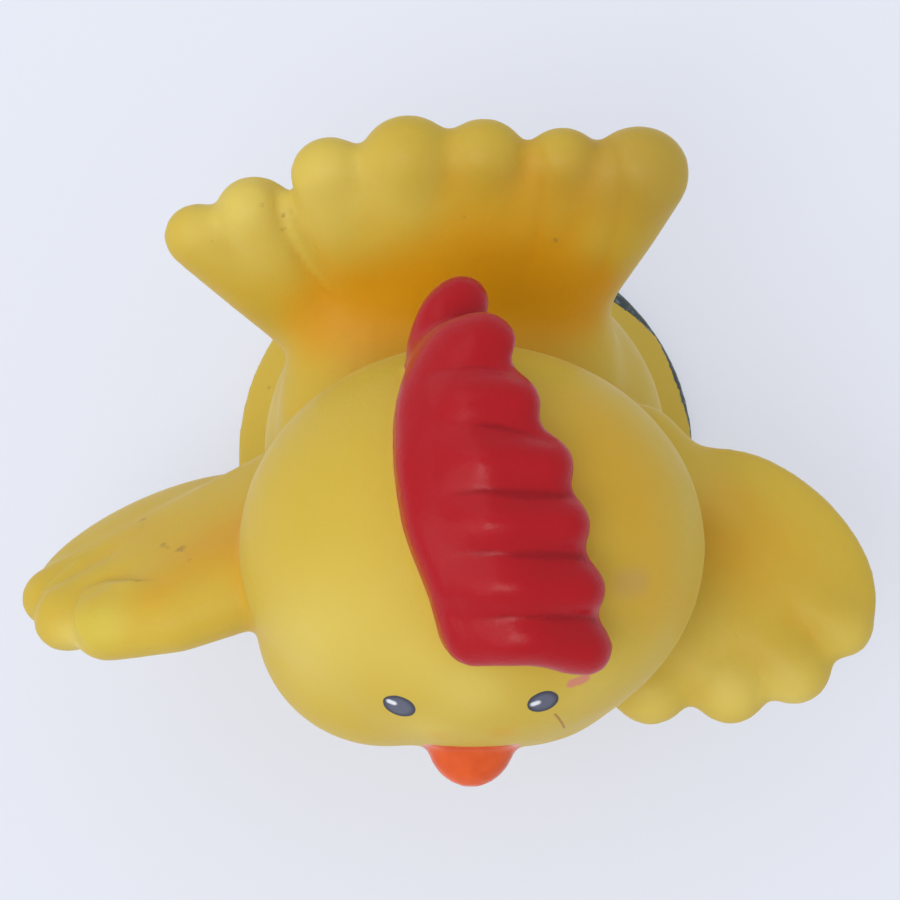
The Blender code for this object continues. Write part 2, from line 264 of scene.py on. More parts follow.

# Soft spots of colour, each a pixel, size (mm) and strength: orange and brown painted shade, lemon
# painted light, and dirt
# Painted shade: orange where the hollows, the tail root and the side turned from the light fall darker
WARM_SHADE_SPOTS = (
    (140, 530, 7.0, 0.35), (780, 560, 9.0, 0.3),
    (320, 320, 6.0, 0.8), (370, 310, 7.0, 1.0), (430, 290, 8.0, 1.0), (500, 280, 8.0, 1.0),
    (560, 300, 7.0, 1.0), (590, 290, 5.0, 0.8), (715, 500, 5.0, 0.4), (725, 540, 7.0, 0.45),
    (690, 610, 5.0, 0.4), (228, 530, 7.0, 0.45), (150, 600, 4.0, 0.5), (200, 560, 7.0, 0.5),
    (600, 430, 10.0, 0.5),
    (570, 180, 8.0, 0.6), (645, 178, 9.0, 0.5), (490, 175, 7.0, 0.45), (650, 600, 8.0, 0.45),
    (640, 510, 9.0, 0.4), (503, 733, 2.2, 0.7), (440, 736, 2.2, 0.5), (535, 265, 6.0, 0.7),
    (476, 240, 6.0, 0.5),
)
# Painted light: paler lemon where lobes and tips stand in the light, and on parts that shadow left too
# dark
LEMON_LIGHT_SPOTS = (
    (712, 497, 5.0, 0.5), (270, 420, 4.0, 0.3),
    (340, 620, 9.0, 0.4), (470, 690, 5.0, 0.6), (108, 625, 3.2, 0.3), (72, 640, 3.0, 0.7),
    (730, 695, 4.0, 0.8), (650, 705, 4.0, 0.6), (790, 690, 4.0, 0.8), (850, 640, 4.0, 0.5),
    (205, 225, 5.0, 0.4), (255, 205, 5.0, 0.4), (330, 170, 6.0, 0.5), (240, 200, 5.0, 0.4),
    (590, 690, 5.0, 0.3), (300, 650, 8.0, 0.5), (420, 660, 5.0, 0.4),
    (255, 250, 6.0, 0.5), (330, 210, 6.0, 0.5), (408, 200, 6.0, 0.4), (700, 650, 6.0, 0.3),
    (430, 730, 4.0, 0.5),
)
# Painted shade: darker brown on the right side, turned from the light
DARK_SHADE_SPOTS = (
    (655, 170, 8.0, 0.75), (620, 150, 5.0, 0.4), (575, 175, 6.0, 0.4), (490, 160, 6.0, 0.35),
    (408, 150, 5.0, 0.25), (650, 200, 6.0, 0.3), (850, 600, 6.0, 0.25), (790, 670, 4.0, 0.2),
)
DIRT_SPOTS = (
    (163, 545, 0.7, 0.7), (169, 547, 0.6, 0.6), (181, 549, 0.8, 0.9), (189, 560, 0.6, 0.5),
    (142, 520, 1.3, 0.5), (140, 528, 0.9, 0.45), (112, 553, 0.6, 0.5), (262, 205, 0.7, 0.6),
    (283, 215, 0.6, 0.8), (282, 230, 0.5, 0.7), (213, 240, 0.4, 0.6), (353, 168, 0.4, 0.6),
    (463, 218, 0.4, 0.7), (555, 240, 0.4, 0.8), (268, 388, 0.6, 0.7), (253, 424, 0.5, 0.6),
)
SPOTS = {"dirt": DIRT_SPOTS, "warm_shade": WARM_SHADE_SPOTS, "lemon_light": LEMON_LIGHT_SPOTS, "dark_shade": DARK_SHADE_SPOTS}

# Beak paint: the skin in front of, beside and below these limits (mm), under an arched top
BEAK_PAINT_BACK = -44.5
BEAK_PAINT_HALF_WIDTH = 5.6
BEAK_PAINT_TOP = 50.3
BEAK_PAINT_ARCH = 0.04
BEAK_PAINT_SOFT = 0.12
BEAK_TONES = (-0.8, 1.0)

# Eyes
EYE_PIXELS = ((399.0, 706.5), (543.0, 702.0))
EYE_RADII = (1.95, 1.85)
EYE_SOFT = 0.07
EYE_UNEVEN = 0.5
EYE_RIM_WIDTH = 0.45
EYE_GLINT_PIXELS = (((389.5, 701.4), (393.5, 703.0)), ((533.5, 704.2), (537.5, 702.8)))
EYE_GLINT_WIDTH = 0.36
EYE_GLINT_SOFT = 0.2

# Small marks, with widths in millimetres
SCRATCH_PIXELS = ((555, 714), (558.5, 718), (562, 723), (564.5, 728))
SCRATCH_WIDTH = 0.13
SCRATCH_SOFT = 0.09
SCRATCH_STRENGTH = 0.85
OVERSPRAY_PIXELS = ((573, 683), (584, 679))
OVERSPRAY_WIDTH = 0.75
OVERSPRAY_SOFT = 0.25
OVERSPRAY_STRENGTH = 0.8
OVERSPRAY_UNEVEN = 2.5
STAIN_PIXELS = ((626, 583), (638, 583))
STAIN_WIDTH = 1.6
STAIN_SOFT = 1.3
STAIN_STRENGTH = 0.28
# Painted highlight: a pale greenish streak on a wing finger's tip
FINGER_HIGHLIGHT_PIXELS = ((92, 630), (100, 627))
FINGER_HIGHLIGHT_WIDTH = 2.6
FINGER_HIGHLIGHT_SOFT = 2.0
FINGER_HIGHLIGHT_STRENGTH = 0.3
DIRT_UNEVEN = 0.35
DIRT_LIMITS = (0.3, 0.75)
DIRT_STRENGTH = 0.5

# Dark band of the foot: degrees from +X toward +Y, and how far (mm) it reaches in from the rim
GRIME_BAND = (
    (-6, 0.0), (3, 0.2), (8, 0.35), (14, 0.65), (20, 0.8), (25, 0.55), (29, 0.4), (33, 0.5),
    (37, 1.0), (42, 1.7), (48, 2.3), (54, 2.0), (62, 0.8), (70, 0.0),
    (156, 0.0), (172, 0.13), (184, 0.13), (200, 0.0),
)
GRIME_WRAP = -90.0
GRIME_RIM = 29.5
GRIME_FADE = 0.25
GRIME_SOFTNESS = 0.55
GRIME_TOP = 4.6
GRIME_UNEVEN = 0.45
GRIME_LIMITS = (0.38, 0.62)
GRIME_PALE_LIMITS = (0.0, 0.55)
GRIME_PALE_SHARE = 0.85

# Noise: size (mm), detail, roughness and shift
NOISE_GAIN = 3.0
PATCH_NOISE = (14.0, 2.0, 0.5, 0.0)
MOTTLE_NOISE = (3.0, 4.0, 0.6, 31.0)
WOBBLE_NOISE = (1.6, 3.0, 0.5, 0.0)
SPECK_NOISE = (0.9, 3.0, 0.6, 57.0)
BEAK_NOISE = (4.0, 2.0, 0.5, 11.0)
SMEAR_NOISE = (6.0, 3.0, 0.5, 83.0)
GRAIN_NOISE = (0.5, 2.0, 0.5, 7.0)
DIMPLE_NOISE = (3.5, 3.0, 0.5, 19.0)
CLOUD_NOISE = (60.0, 2.0, 0.5, 0.0)

# Vinyl: how its colours and gloss vary
PATCH_SHARE = 0.08
# Painted shade: how much orange the hollows take
HOLLOW_SHADE = 0.55
LEMON_LIMITS = (-0.05, 1.0)
WARM_LIMITS = (0.0, 1.1)
MOTTLE_LIMITS = (0.3, 1.2)
MOTTLE_SHARE = 0.15
WOBBLE_HEIGHT = 0.14
VINYL_ROUGHNESS = 0.47
VINYL_SMEARS = 0.07
PAINT_ROUGHNESS = 0.30
PAINT_SMEARS = 0.02
BEAK_ROUGHNESS = (0.2, 0.2, 0.2, 1.0)
SUBSURFACE_WEIGHT = 0.25
SUBSURFACE_RADIUS = (0.0030, 0.0018, 0.0006)
SPECULAR_LEVEL = 0.22
SHEEN_WEIGHT = 0.12
SHEEN_ROUGHNESS = 0.25
GRAIN_SHARE = 0.25
BUMP_STRENGTH = 0.35
BUMP_DISTANCE = 0.00012

# Colours
SHEEN_CREAM = (1.0, 0.90, 0.68, 1.0)
VINYL = (0.60, 0.415, 0.045, 1.0)
# Painted light: the paler lemon of the lit spots
PAINTED_LIGHT_LEMON = (0.70, 0.55, 0.12, 1.0)
# Painted shade in the hollows and warm spots, also used for the random mottle
ORANGE_SHADE_AND_MOTTLE = (0.66, 0.31, 0.006, 1.0)
# Painted shade: the darker brown of the shaded spots
SHADE_BROWN = (0.44, 0.29, 0.04, 1.0)
# Painted highlight on a wing finger's tip
GREENISH_HIGHLIGHT = (0.62, 0.58, 0.07, 1.0)
COMB_RED = (0.405, 0.0035, 0.009, 1.0)
# Painted shade in the comb's creases
COMB_SHADE_RED = (0.30, 0.002, 0.006, 1.0)
COMB_EDGE_PINK = (0.66, 0.235, 0.13, 1.0)
BEAK_ORANGE = (0.78, 0.125, 0.025, 1.0)
BEAK_DEEP = (0.62, 0.075, 0.012, 1.0)
EYE_GREY = (0.110, 0.116, 0.165, 1.0)
EYE_RIM = (0.040, 0.041, 0.058, 1.0)
GLINT_WHITE = (0.80, 0.80, 0.82, 1.0)
DIRT_BROWN = (0.24, 0.15, 0.05, 1.0)
GRIME_DARK = (0.035, 0.052, 0.055, 1.0)
GRIME_PALE = (0.20, 0.24, 0.22, 1.0)
SCRATCH_BROWN = (0.36, 0.13, 0.02, 1.0)
OVERSPRAY_PINK = (0.66, 0.20, 0.17, 1.0)
STAIN_PURPLE = (0.46, 0.27, 0.15, 1.0)

# Floor and light, in metres and watts
FLOOR_SPAN = 6.0
FLOOR_COLOUR = (0.80, 0.83, 0.91, 1.0)
FLOOR_CLOUD = (0.72, 0.76, 0.85, 1.0)
FLOOR_CLOUD_LIMITS = (-1.2, 1.2)
FLOOR_CLOUD_SHARE = 0.05
FLOOR_ROUGHNESS = 0.8
BACKGROUND = (0.785, 0.81, 0.91, 1.0)
BACKGROUND_SHARE = 0.55
WORLD_LIGHT = (0.93, 0.96, 1.0, 1.0)
WORLD_STRENGTH = 0.75
# Each lamp's name, place, side, power and colour
LAMPS = (
    ("key", (-1.00, -0.65, 1.25), 1.6, 6.9, (1.0, 0.985, 0.96)),
    ("fill", (-0.70, 0.80, 1.15), 1.2, 2.3, (0.96, 0.98, 1.0)),
    ("top", (-0.36, -0.64, 1.29), 0.65, 4.0, (1.0, 0.99, 0.98)),
)


def turn(angle, axis):
    return Matrix.Rotation(math.radians(angle), 4, axis)


def between(start, end, share):
    return start + (end - start) * share


def add_ball(mesh, centre, radii, turned=None):
    place = Matrix.Translation(centre)
    if turned is not None:
        place = place @ turned
    bmesh.ops.create_uvsphere(
        mesh,
        u_segments=BALL_SEGMENTS,
        v_segments=BALL_RINGS,
        radius=1.0,
        matrix=place @ Matrix.Diagonal((*radii, 1.0)),
    )


def wrap_balls(mesh, balls, turned=None, thickness=1.0):
    """Add the convex hull of balls, each given as its centre and radius."""
    piece = bmesh.new()
    for centre, radius in balls:
        add_ball(piece, centre, (radius, radius, radius * thickness), turned)
    wrapped = bmesh.ops.convex_hull(piece, input=piece.verts)
    spare = {item for item in wrapped["geom_interior"] if isinstance(item, bmesh.types.BMVert)}
    bmesh.ops.delete(piece, geom=list(spare), context="VERTS")
    holder = bpy.data.meshes.new("wrapped")
    piece.to_mesh(holder)
    piece.free()
    mesh.from_mesh(holder)
    bpy.data.meshes.remove(holder)


def ball_between(first, second, share):
    return between(first[0], second[0], share), between(first[1], second[1], share)


def add_strand(mesh, balls, turned=None, thickness=1.0):
    """Add a tapering strand: each pair of neighbouring balls is wrapped in its convex hull."""
    for start in range(len(balls) - 1):
        wrap_balls(mesh, balls[start:start + 2], turned, thickness)


def add_fan(mesh, strands, fills, turned, thickness):
    """Add strands side by side, with each gap filled from the roots to a share of their length."""
    for strand in strands:
        add_strand(mesh, strand, turned, thickness)
    for first, second, fill in zip(strands[:-1], strands[1:], fills):
        edge = [ball_between(*first, fill), ball_between(*second, fill)]
        wrap_balls(mesh, [first[0], second[0], *edge], turned, thickness)


def head_centre():
    return Vector((HEAD_ASIDE, -HEAD_FORWARD, HEAD_LEVEL))


def head_radii():
    return Vector((HEAD_WIDTH / 2, HEAD_LENGTH / 2, HEAD_HEIGHT / 2))


def on_head(side, forward, lift):
    side = math.radians(side)
    forward = math.radians(forward)
    normal = Vector((
        math.sin(side),
        -math.cos(side) * math.sin(forward),
        math.cos(side) * math.cos(forward),
    ))
    radii = head_radii() + Vector((lift, lift, lift))
    return head_centre() + Vector(axis * size for axis, size in zip(normal, radii))


def add_cone(mesh, lower_radius, upper_radius, bottom, top):
    bmesh.ops.create_cone(
        mesh,
        cap_ends=True,
        segments=DISC_SEGMENTS,
        radius1=lower_radius,
        radius2=upper_radius,
        depth=top - bottom,
        matrix=Matrix.Translation((FOOT_ASIDE, 0.0, (top + bottom) / 2)),
    )


def add_foot(mesh):
    rim_top = FOOT_EDGE_HEIGHT - FOOT_EDGE_ROUND
    shoulder = FOOT_RADIUS - FOOT_EDGE_ROUND
    add_cone(mesh, FOOT_RADIUS, FOOT_RADIUS, -FOOT_SUNK, rim_top)
    add_cone(mesh, FOOT_RADIUS, shoulder, rim_top, FOOT_EDGE_HEIGHT)
    add_cone(mesh, shoulder, FOOT_FLARE_RADIUS, FOOT_EDGE_HEIGHT, FOOT_FLARE_HEIGHT)


def add_torso(mesh):
    centre = (0.0, -TORSO_FORWARD, TORSO_LEVEL)
    add_ball(mesh, centre, (TORSO_WIDTH / 2, TORSO_LENGTH / 2, TORSO_HEIGHT / 2))


def add_head(mesh):
    add_ball(mesh, head_centre(), head_radii())
    for side in (-1, 1):
        aside = CHEEK_ASIDE + side * CHEEK_SPREAD
        cheek = head_centre() + Vector((aside, -CHEEK_FORWARD, -CHEEK_DROP))
        add_ball(mesh, cheek, (CHEEK_RADIUS, CHEEK_RADIUS, CHEEK_RADIUS))


def beak_centre():
    return head_centre() + Vector((BEAK_ASIDE, BEAK_LENGTH / 2 - BEAK_REACH, -BEAK_DROP))


def add_beak(mesh):
    tip = beak_centre()
    add_ball(mesh, tip, (BEAK_WIDTH / 2, BEAK_LENGTH / 2, BEAK_HEIGHT / 2))
    back = tip + Vector((0.0, BEAK_LENGTH / 2, BRIDGE_RISE))
    add_strand(mesh, ((tip, BEAK_HEIGHT / 2), (back, BRIDGE_RADIUS)))


def comb_lobes():
    """Each lobe is a root ball on the left of the crown, a crest ball and a tip ball."""
    lobes = []
    for root, tip, tip_lift, shift in zip(COMB_ROOTS, COMB_TIPS, COMB_TIP_LIFTS, COMB_CREST_SHIFTS):
        crest = [between(start, end, COMB_CREST_SHARE) for start, end in zip(root, tip)]
        crest[1] += shift
        crest_lift = between(COMB_ROOT_LIFT, tip_lift, COMB_CREST_SHARE) + COMB_CREST_RISE
        lobes.append((
            (on_head(*root, COMB_ROOT_LIFT), COMB_ROOT_RADIUS),
            (on_head(*crest, crest_lift), COMB_CREST_RADIUS),
            (on_head(*tip, tip_lift), COMB_TIP_RADIUS),
        ))
    return lobes


def comb_webs():
    """Fills between neighbouring lobes: flush up to the crests, then lower toward the tips."""
    lobes = comb_lobes()
    webs = []
    for first, second in zip(lobes[1:-1], lobes[2:]):
        webs.append([*first[:2], *second[:2]])
        edge = [(ball_between(*lobe[1:], COMB_WEB_SHARE)[0], COMB_WEB_RADIUS) for lobe in (first, second)]
        webs.append([first[1], second[1], *edge])
    return webs


def add_comb(mesh):
    """The rearmost lobe stands apart, under the next one."""
    for lobe in comb_lobes():
        add_strand(mesh, lobe)
    for web in comb_webs():
        wrap_balls(mesh, web)


def tail_frame():
    return Vector((TAIL_ROOT_ASIDE, TAIL_ROOT_BACK, TAIL_ROOT_LEVEL)), turn(TAIL_TILT, "X")


def add_tail_web(mesh):
    root, slope = tail_frame()
    radii = (TAIL_WEB_WIDTH / 2, TAIL_WEB_LENGTH / 2, TAIL_WEB_THICKNESS / 2)
    add_ball(mesh, root + slope @ Vector((0.0, TAIL_WEB_UP, 0.0)), radii, slope)


def add_saddle(mesh):
    """Fills the valley between the back and the petals' roots."""
    root, slope = tail_frame()
    balls = []
    for side in (-1, 1):
        aside = root.x + TAIL_ROOT_OFFSET + side * SADDLE_SPREAD
        balls.append((Vector((aside, -SADDLE_FORWARD, SADDLE_LEVEL)), SADDLE_RADIUS))
        up = slope @ Vector((TAIL_ROOT_OFFSET + side * SADDLE_SPREAD, SADDLE_UP, 0.0))
        balls.append((root + up, TAIL_ROOT_RADIUS * TAIL_THICKNESS))
    wrap_balls(mesh, balls)


def add_tail(mesh):
    """Petals fan out in a plane that slopes up and back from the root."""
    root, slope = tail_frame()
    petals = []
    for angle, reach, tip_radius in zip(TAIL_ANGLES, TAIL_REACHES, TAIL_TIP_RADII):
        angle = math.radians(angle)
        across = math.sin(angle)
        start = root + slope @ Vector((across * TAIL_ROOT_SPREAD + TAIL_ROOT_OFFSET, 0.0, 0.0))
        tip = root + slope @ Vector((across * reach, math.cos(angle) * reach, 0.0))
        petals.append(((start, TAIL_ROOT_RADIUS), (tip, tip_radius)))
    add_fan(mesh, petals, TAIL_FILLS, slope, TAIL_THICKNESS)


def wing_frame(side, pose):
    """Shoulder point, and the turn of the wing: sweep swings it, pitch lifts its front edge."""
    sweep, pitch, forward = pose
    shoulder = Vector((side * SHOULDER_SPREAD, -SHOULDER_FORWARD - forward, SHOULDER_LEVEL))
    return shoulder, turn(-side * sweep, "Z") @ turn(-pitch, "X")


def add_palm(mesh, side, pose, back):
    shoulder, turned = wing_frame(side, pose)
    palm = shoulder + turned @ Vector((side * (PALM_LENGTH / 2 - PALM_INSIDE), back, 0.0))
    add_ball(mesh, palm, (PALM_LENGTH / 2, PALM_WIDTH / 2, PALM_THICKNESS / 2), turned)


def add_feathers(mesh, side, pose, lobes, fills):
    """Feather lobes run from a root line inside the body to round tips."""
    shoulder, turned = wing_frame(side, pose)
    feathers = []
    for place, (angle, reach, tip_radius) in enumerate(lobes):
        angle = math.radians(angle)
        share = place / (len(lobes) - 1)
        root = shoulder + turned @ Vector((-side * WING_ROOT_INSIDE, -WING_ROOT_CHORD * share, 0.0))
        tip = shoulder + turned @ Vector((side * math.cos(angle), -math.sin(angle), 0.0)) * reach
        feathers.append(((root, WING_ROOT_RADIUS), (tip, tip_radius)))
    add_fan(mesh, feathers, fills, turned, WING_THICKNESS)


def add_wings(mesh):
    for side, pose, back, angles, reaches, fills in (
        (
            1, (RIGHT_SWEEP, RIGHT_PITCH, RIGHT_FORWARD), RIGHT_PALM_BACK,
            RIGHT_ANGLES, RIGHT_REACHES, RIGHT_FILLS,
        ),
        (
            -1, (LEFT_SWEEP, LEFT_PITCH, LEFT_FORWARD), LEFT_PALM_BACK,
            LEFT_ANGLES, LEFT_REACHES, LEFT_FILLS,
        ),
    ):
        add_palm(mesh, side, pose, back)
        add_feathers(mesh, side, pose, list(zip(angles, reaches, WING_TIP_RADII)), fills)


def object_from(mesh, name):
    data = bpy.data.meshes.new(name)
    mesh.to_mesh(data)
    mesh.free()
    thing = bpy.data.objects.new(name, data)
    bpy.context.scene.collection.objects.link(thing)
    return thing


def bake_modifiers(thing):
    graph = bpy.context.evaluated_depsgraph_get()
    shaped = bpy.data.meshes.new_from_object(thing.evaluated_get(graph))
    thing.modifiers.clear()
    thing.data = shaped


def fuse(thing, voxel, passes):
    """Melt overlapping solids into one skin and soften it."""
    remesh = thing.modifiers.new("Fuse", "REMESH")
    remesh.mode = "VOXEL"
    remesh.voxel_size = voxel
    soften = thing.modifiers.new("Soften", "SMOOTH")
    soften.factor = SMOOTH_FACTOR
    soften.iterations = passes
    bake_modifiers(thing)


def make_core():
    mesh = bmesh.new()
    add_torso(mesh)
    add_head(mesh)
    add_tail_web(mesh)
    add_saddle(mesh)
    core = object_from(mesh, "core")
    fuse(core, CORE_VOXEL, CORE_PASSES)
    return core


def make_limbs():
    mesh = bmesh.new()
    add_foot(mesh)
    add_beak(mesh)
    add_tail(mesh)
    add_wings(mesh)
    limbs = object_from(mesh, "limbs")
    fuse(limbs, SKIN_VOXEL, LIMB_PASSES)
    return limbs


def make_comb():
    mesh = bmesh.new()
    add_comb(mesh)
    comb = object_from(mesh, "comb")
    fuse(comb, SKIN_VOXEL, COMB_PASSES)
    return comb


def join(parts):
    mesh = bmesh.new()
    for part in parts:
        mesh.from_mesh(part.data)
        bpy.data.objects.remove(part, do_unlink=True)
    return object_from(mesh, "hen_skin")


def trim_flat(thing):
    """Cut the foot at the floor, so that the underside is one flat face."""
    mesh = bmesh.new()
    mesh.from_mesh(thing.data)
    everything = mesh.verts[:] + mesh.edges[:] + mesh.faces[:]
    cut = bmesh.ops.bisect_plane(
        mesh,
        geom=everything,
        plane_co=(0.0, 0.0, 0.0),
        plane_no=(0.0, 0.0, 1.0),
        clear_inner=True,
    )
    rim = [item for item in cut["geom_cut"] if isinstance(item, bmesh.types.BMEdge)]
    bmesh.ops.contextual_create(mesh, geom=rim)
    bmesh.ops.recalc_face_normals(mesh, faces=mesh.faces[:])
    mesh.to_mesh(thing.data)
    mesh.free()


def vertex_places(thing):
    places = np.zeros(len(thing.data.vertices) * 3)
    thing.data.vertices.foreach_get("co", places)
    return places.reshape(-1, 3)


def vertex_normals(thing):
    normals = np.zeros(len(thing.data.vertices) * 3)
    thing.data.vertices.foreach_get("normal", normals)
    return normals.reshape(-1, 3)


def move_vertices(thing, places):
    thing.data.vertices.foreach_set("co", places.ravel())
    thing.data.update()


def comb_gap(places, comb):
    """Distance from each place to the bare comb's surface, less than zero inside it."""
    tree = skin_tree(comb)
    low = vertex_places(comb).min(axis=0) - COMB_MARGIN
    high = vertex_places(comb).max(axis=0) + COMB_MARGIN
    gaps = np.full(len(places), COMB_MARGIN)
    near = np.all((places > low) & (places < high), axis=1)
    for number in np.flatnonzero(near):
        place = Vector(places[number])
        nearest, normal, _, gap = tree.find_nearest(place)
        gaps[number] = gap if (place - nearest).dot(normal) > 0 else -gap
    return np.minimum(gaps, COMB_MARGIN)


def paint_floats(thing, name, values):
    layer = thing.data.attributes.new(name, "FLOAT", "POINT")
    layer.data.foreach_set("value", np.asarray(values, dtype=np.float32))


def camera_axes():
    tilt = math.radians(CAMERA_ELEVATION)
    up = Vector((0.0, math.sin(tilt), math.cos(tilt)))
    toward = Vector((0.0, -math.cos(tilt), math.sin(tilt)))
    return Vector((1.0, 0.0, 0.0)), up, toward


def camera_place():
    return CAMERA_TARGET + camera_axes()[2] * CAMERA_DISTANCE


def pixels_of(places):
    """Where places (mm) fall in the picture."""
    right, up, toward = (np.array(axis) for axis in camera_axes())
    offset = places - np.array(camera_place())
    depth = -(offset @ toward)
    across = IMAGE_SIDE / 2 + FOCAL_PIXELS * (offset @ right) / depth
    down = IMAGE_SIDE / 2 - FOCAL_PIXELS * (offset @ up) / depth
    return np.stack([across, down], axis=1)


def skin_tree(thing):
    mesh = bmesh.new()
    mesh.from_mesh(thing.data)
    tree = BVHTree.FromBMesh(mesh)
    mesh.free()
    return tree


def on_skin(tree, pixel):
    """The point of the skin that shows at a pixel of the picture."""
    right, up, toward = camera_axes()
    across = (pixel[0] - IMAGE_SIDE / 2) / FOCAL_PIXELS
    down = (pixel[1] - IMAGE_SIDE / 2) / FOCAL_PIXELS
    ray = (right * across - up * down - toward).normalized()
    return tree.ray_cast(camera_place(), ray)[0]


def seen_from_camera(tree, places):
    """True for each place that nothing hides from the camera."""
    eye = camera_place()
    seen = np.zeros(len(places), dtype=bool)
    for number, place in enumerate(places):
        ray = Vector(place) - eye
        hit = tree.ray_cast(eye, ray.normalized())[0]
        seen[number] = hit is not None and (hit - eye).length > ray.length - SEEN_TOLERANCE
    return seen


def side_of_line(spots, line):
    """Distance (pixels) from each spot to a line, and the share of the line passed there.

    The distance is greater than zero on the line's right in the picture.
    """
    best = np.full(len(spots), np.inf)
    signed = np.zeros(len(spots))
    passed = np.zeros(len(spots))
    for step, (start, end) in enumerate(zip(line[:-1], line[1:])):
        start = np.array(start, dtype=float)
        along = np.array(end, dtype=float) - start
        share = np.clip((spots - start) @ along / (along @ along), 0.0, 1.0)
        away = spots - (start + share[:, None] * along)
        gap = np.linalg.norm(away, axis=1)
        side = np.sign(along[0] * away[:, 1] - along[1] * away[:, 0])
        nearer = gap < best
        best = np.where(nearer, gap, best)
        signed = np.where(nearer, gap * side, signed)
        passed = np.where(nearer, (step + share) / (len(line) - 1), passed)
    return signed, passed


def press_crease(thing, tree, share, line, heights, reach, power):
    """Raise or sink the skin beside a line of the picture, by a share of the heights for each vertex."""
    places = vertex_places(thing)
    normals = vertex_normals(thing)
    facing = normals @ np.array(camera_axes()[2])
    signed, passed = side_of_line(pixels_of(places), line)
    signed = signed / PIXELS_PER_MM
    near = (np.abs(signed) < reach * CREASE_LIMIT) & (facing > CREASE_FACING[0]) & (share > 0.0)
    near = np.flatnonzero(near)
    near = near[seen_from_camera(tree, places[near])]
    gap = signed[near]
    left, right = heights
    fade = np.exp(-(np.abs(gap) / reach) ** power)
    side = (np.tanh(gap / CREASE_SHARPNESS) + 1) / 2
    grown = np.clip(passed[near] / CREASE_FADE, 0.0, 1.0)
    turned = np.clip((facing[near] - CREASE_FACING[0]) / (CREASE_FACING[1] - CREASE_FACING[0]), 0.0, 1.0)
    lift = between(left, right, side) * fade * grown * turned * share[near]
    places[near] += normals[near] * lift[:, None]
    move_vertices(thing, places)


def edge_ends(thing):
    edges = np.zeros(len(thing.data.edges) * 2, dtype=np.int64)
    thing.data.edges.foreach_get("vertices", edges)
    return edges.reshape(-1, 2)


def smoothed(places, edges, passes):
    """Places after each is moved half way to the middle of its neighbours, many times."""
    count = np.bincount(edges.ravel(), minlength=len(places)).astype(float)
    for _ in range(passes):
        total = np.zeros_like(places)
        for axis in range(3):
            total[:, axis] = np.bincount(edges[:, 0], places[edges[:, 1], axis], len(places))
            total[:, axis] += np.bincount(edges[:, 1], places[edges[:, 0], axis], len(places))
        places = (places + total / count[:, None]) / 2
    return places


def melt(thing, share, passes):
    """Relax the skin, by a share for each vertex."""
    places = vertex_places(thing)
    loose = smoothed(places, edge_ends(thing), passes)
    places += (loose - places) * share[:, None]
    move_vertices(thing, places)


def hollow_depth(thing, passes):
    """How far each vertex lies below (+) or above (-) a smoothed copy of the skin."""
    places = vertex_places(thing)
    drift = smoothed(places, edge_ends(thing), passes) - places
    return np.einsum("ij,ij->i", drift, vertex_normals(thing))


def rim_grime(places):
    angle = np.degrees(np.arctan2(places[:, 1], places[:, 0] - FOOT_ASIDE))
    angle = np.where(angle < GRIME_WRAP, angle + 360.0, angle)
    radius = np.hypot(places[:, 0] - FOOT_ASIDE, places[:, 1])
    width = np.interp(angle, *zip(*GRIME_BAND))
    amount = np.clip((radius - GRIME_RIM + width) / GRIME_SOFTNESS, 0.0, 1.0)
    amount *= np.clip(width / GRIME_FADE, 0.0, 1.0)
    return np.where(places[:, 2] < GRIME_TOP, amount, 0.0)


def spot_amount(places, tree, spots):
    """Soft round spots that blend into one another, from 0 to 1."""
    clear = np.ones(len(places))
    for across, down, size, strength in spots:
        spot = on_skin(tree, (across, down))
        gap = np.linalg.norm(places - np.array(spot), axis=1)
        clear *= 1 - strength * np.exp(-(gap / size) ** 2)
    return 1 - clear


def paint_marks(thing, tree):
    places = vertex_places(thing)
    aside = np.abs(places[:, 0] - beak_centre().x)
    top = BEAK_PAINT_TOP - BEAK_PAINT_ARCH * aside ** 2
    limits = (aside - BEAK_PAINT_HALF_WIDTH, places[:, 1] - BEAK_PAINT_BACK, places[:, 2] - top)
    paint_floats(thing, "beak", np.max(limits, axis=0))
    paint_floats(thing, "hollow", hollow_depth(thing, HOLLOW_PASSES))
    paint_floats(thing, "crease", hollow_depth(thing, CREASE_PASSES))
    paint_floats(thing, "grime", rim_grime(places))
    for name, spots in SPOTS.items():
        paint_floats(thing, name, spot_amount(places, tree, spots))


def make_hen():
    comb = make_comb()
    bare_comb = comb.copy()
    bare_comb.data = comb.data.copy()
    skin = join((make_core(), make_limbs(), comb))
    fuse(skin, SKIN_VOXEL, SKIN_PASSES)
    trim_flat(skin)
    tree = skin_tree(skin)
    gaps = comb_gap(vertex_places(skin), bare_comb)
    paint_floats(skin, "comb", gaps)
    bpy.data.objects.remove(bare_comb, do_unlink=True)
    on_comb = np.clip(1.0 - gaps / COMB_SOFT_EDGE, 0.0, 1.0)
    melt(skin, spot_amount(vertex_places(skin), tree, MELT_SPOTS), MELT_PASSES)
    melt(skin, on_comb, COMB_RELAX_PASSES)
    tree = skin_tree(skin)
    for crease in CREASES:
        press_crease(skin, tree, 1.0 - on_comb, *crease)
    for crease in COMB_CREASES:
        press_crease(skin, tree, on_comb, *crease)
    tree = skin_tree(skin)
    paint_marks(skin, tree)
    return skin, tree


